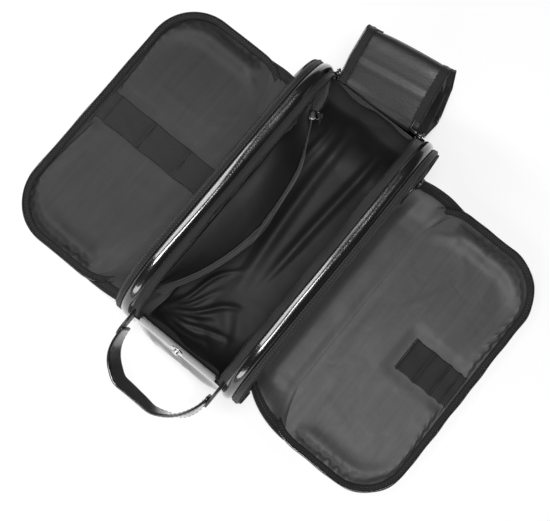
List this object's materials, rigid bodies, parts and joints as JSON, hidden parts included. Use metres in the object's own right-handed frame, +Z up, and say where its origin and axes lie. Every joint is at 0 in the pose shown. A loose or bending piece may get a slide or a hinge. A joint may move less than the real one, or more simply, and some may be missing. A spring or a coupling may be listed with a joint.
{
  "type": "toiletry bag",
  "caption": "Soft black toiletry bag opened flat: zipped lid strip thrown back, side trays folded down, inner zip pocket, elastic loops and a wrist handle",
  "frame": {"origin": "centre of the bag's base, on the table", "axes": "X across the bag from the left flap to the right flap, Y along the bag from the handle to the lid's hinge, Z up"},
  "size_m": [0.4274, 0.3781, 0.138],
  "materials": {
    "leather": "black glossy grained leather",
    "soft_leather": "black satin leather",
    "satin": "dark grey woven satin",
    "board": "stiff fibre board",
    "zip": "woven zip tape with coil teeth",
    "elastic": "ribbed elastic",
    "metal": "bright plated metal"
  },
  "bodies": {
    "bag_body": {"base_panel": "leather", "base_board": "board", "near_end_wall": "leather", "far_end_wall": "leather", "floor_lining": "satin", "end_linings": "satin", "left_inner_wall": "board", "right_inner_wall": "board", "wall_linings": "satin", "side_linings": "satin", "left_gusset": "leather", "right_gusset": "leather", "left_side_zip": "zip", "right_side_zip": "zip", "left_main_zip": "zip", "right_main_zip": "zip", "pocket_front": "satin", "pocket_zip": "zip", "snap_stud": "metal", "handle_anchors": "leather", "hinge_strips": "leather"},
    "right_flap": {"right_flap_panel": "leather", "right_flap_board": "board", "right_flap_tray": "leather", "right_flap_zip": "zip", "right_flap_lining": "satin", "right_elastic": "elastic"},
    "left_flap": {"left_flap_panel": "leather", "left_flap_board": "board", "left_flap_tray": "leather", "left_flap_zip": "zip", "left_flap_lining": "satin", "left_elastic": "elastic"},
    "handle": {"handle_strap": "leather"},
    "lid_1": {"lid_panel_1": "soft_leather", "lid_zip_1": "zip"},
    "lid_2": {"lid_panel_2": "soft_leather", "lid_zip_2": "zip"},
    "lid_3": {"lid_panel_3": "soft_leather", "lid_zip_3": "zip"},
    "lid_4": {"lid_panel_4": "soft_leather", "lid_zip_4": "zip"},
    "lid_5": {"lid_panel_5": "soft_leather", "lid_zip_5": "zip"},
    "lid_6": {"lid_panel_6": "soft_leather", "lid_zip_6": "zip"},
    "lid_7": {"lid_panel_7": "soft_leather", "lid_zip_7": "zip", "snap_cap": "metal"},
    "right_main_slider": {"right_main_slider": "metal"},
    "right_main_pull": {"right_main_pull": "metal"},
    "left_main_slider": {"left_main_slider": "metal"},
    "left_main_pull": {"left_main_pull": "metal"},
    "right_side_slider": {"right_side_slider": "metal"},
    "right_side_pull": {"right_side_pull": "zip"},
    "left_side_slider": {"left_side_slider": "metal"},
    "left_side_pull": {"left_side_pull": "zip"},
    "pocket_slider": {"pocket_slider": "metal"},
    "pocket_pull": {"pocket_pull": "zip"}
  },
  "joints": [
    {"name": "right_flap_hinge", "type": "hinge", "parent": "bag_body", "child": "right_flap", "pos_m": [0.0757, 0, 0.0009], "axis": [0, -1, 0], "range_deg": [0, 90]},
    {"name": "left_flap_hinge", "type": "hinge", "parent": "bag_body", "child": "left_flap", "pos_m": [-0.0757, 0, 0.0009], "axis": [0, 1, 0], "range_deg": [0, 90]},
    {"name": "lid_crease_1", "type": "hinge", "parent": "bag_body", "child": "lid_1", "pos_m": [0, 0.12697, 0.11488], "axis": [0.9945, 0.1045, 0], "range_deg": [0, 107.95]},
    {"name": "lid_crease_2", "type": "hinge", "parent": "lid_1", "child": "lid_2", "pos_m": [-0.0042, 0.14937, 0.12588], "axis": [0.9857, 0.136, 0.0994], "range_deg": [0, 51.71]},
    {"name": "lid_crease_3", "type": "hinge", "parent": "lid_2", "child": "lid_3", "pos_m": [-0.00786, 0.17431, 0.12804], "axis": [0.9857, 0.136, 0.0994], "range_deg": [0, 88.36]},
    {"name": "lid_crease_4", "type": "hinge", "parent": "lid_3", "child": "lid_4", "pos_m": [-0.00655, 0.18667, 0.09821], "axis": [0.9857, 0.136, 0.0994], "range_deg": [0, 21.01]},
    {"name": "lid_crease_5", "type": "hinge", "parent": "lid_4", "child": "lid_5", "pos_m": [-0.0023, 0.18796, 0.05424], "axis": [0.9857, 0.136, 0.0994], "range_deg": [0, 19.01]},
    {"name": "lid_crease_6", "type": "hinge", "parent": "lid_5", "child": "lid_6", "pos_m": [0.00395, 0.17443, 0.01083], "axis": [0.9857, 0.136, 0.0994], "range_deg": [0, 124.01]},
    {"name": "lid_crease_7", "type": "hinge", "parent": "lid_6", "child": "lid_7", "pos_m": [0.00425, 0.14495, 0.0482], "axis": [0.9857, 0.136, 0.0994], "range_deg": [0, 115.01]},
    {"name": "handle_hinge", "type": "hinge", "parent": "bag_body", "child": "handle", "pos_m": [0, -0.141, 0.104], "axis": [1, 0, 0], "range_deg": [-95, 70]},
    {"name": "right_main_slider_run", "type": "hinge", "parent": "bag_body", "child": "right_main_slider", "pos_m": [0.0408, 0.085, 0.092], "axis": [1, 0, 0], "range_deg": [0, 71]},
    {"name": "right_main_pull_pivot", "type": "hinge", "parent": "right_main_slider", "child": "right_main_pull", "pos_m": [0.04355, 0.13176, 0.1081], "axis": [1, 0, 0], "range_deg": [0, 120]},
    {"name": "right_side_slider_run", "type": "hinge", "parent": "bag_body", "child": "right_side_slider", "pos_m": [0.0648, 0.085, 0.046], "axis": [1, 0, 0], "range_deg": [0, 36]},
    {"name": "right_side_pull_pivot", "type": "hinge", "parent": "right_side_slider", "child": "right_side_pull", "pos_m": [0.0648, 0.1263, 0.01599], "axis": [0, 0.5878, 0.809], "range_deg": [0, 90]},
    {"name": "left_main_slider_run", "type": "hinge", "parent": "bag_body", "child": "left_main_slider", "pos_m": [-0.0408, 0.085, 0.092], "axis": [1, 0, 0], "range_deg": [0, 71]},
    {"name": "left_main_pull_pivot", "type": "hinge", "parent": "left_main_slider", "child": "left_main_pull", "pos_m": [-0.04355, 0.13176, 0.1081], "axis": [1, 0, 0], "range_deg": [0, 120]},
    {"name": "left_side_slider_run", "type": "hinge", "parent": "bag_body", "child": "left_side_slider", "pos_m": [-0.0648, 0.085, 0.046], "axis": [1, 0, 0], "range_deg": [0, 36]},
    {"name": "left_side_pull_pivot", "type": "hinge", "parent": "left_side_slider", "child": "left_side_pull", "pos_m": [-0.0648, 0.1263, 0.01599], "axis": [0, -0.5878, -0.809], "range_deg": [0, 90]},
    {"name": "pocket_slider_run", "type": "hinge", "parent": "bag_body", "child": "pocket_slider", "pos_m": [-0.18591, 0, 0.1], "axis": [0, 0, -1], "range_deg": [0, 62.69]},
    {"name": "pocket_pull_pivot", "type": "hinge", "parent": "pocket_slider", "child": "pocket_pull", "pos_m": [-0.03222, 0.09362, 0.1015], "axis": [-0.5202, 0.8541, 0], "range_deg": [-100, 0]}
  ],
  "couplings": [
    {"joint": "lid_crease_2", "follows": "lid_crease_1", "ratio": 0.47892},
    {"joint": "lid_crease_3", "follows": "lid_crease_1", "ratio": 0.81843},
    {"joint": "lid_crease_4", "follows": "lid_crease_1", "ratio": 0.19454},
    {"joint": "lid_crease_5", "follows": "lid_crease_1", "ratio": 0.17601},
    {"joint": "lid_crease_6", "follows": "lid_crease_1", "ratio": 1.1487},
    {"joint": "lid_crease_7", "follows": "lid_crease_1", "ratio": 1.0653}
  ]
}
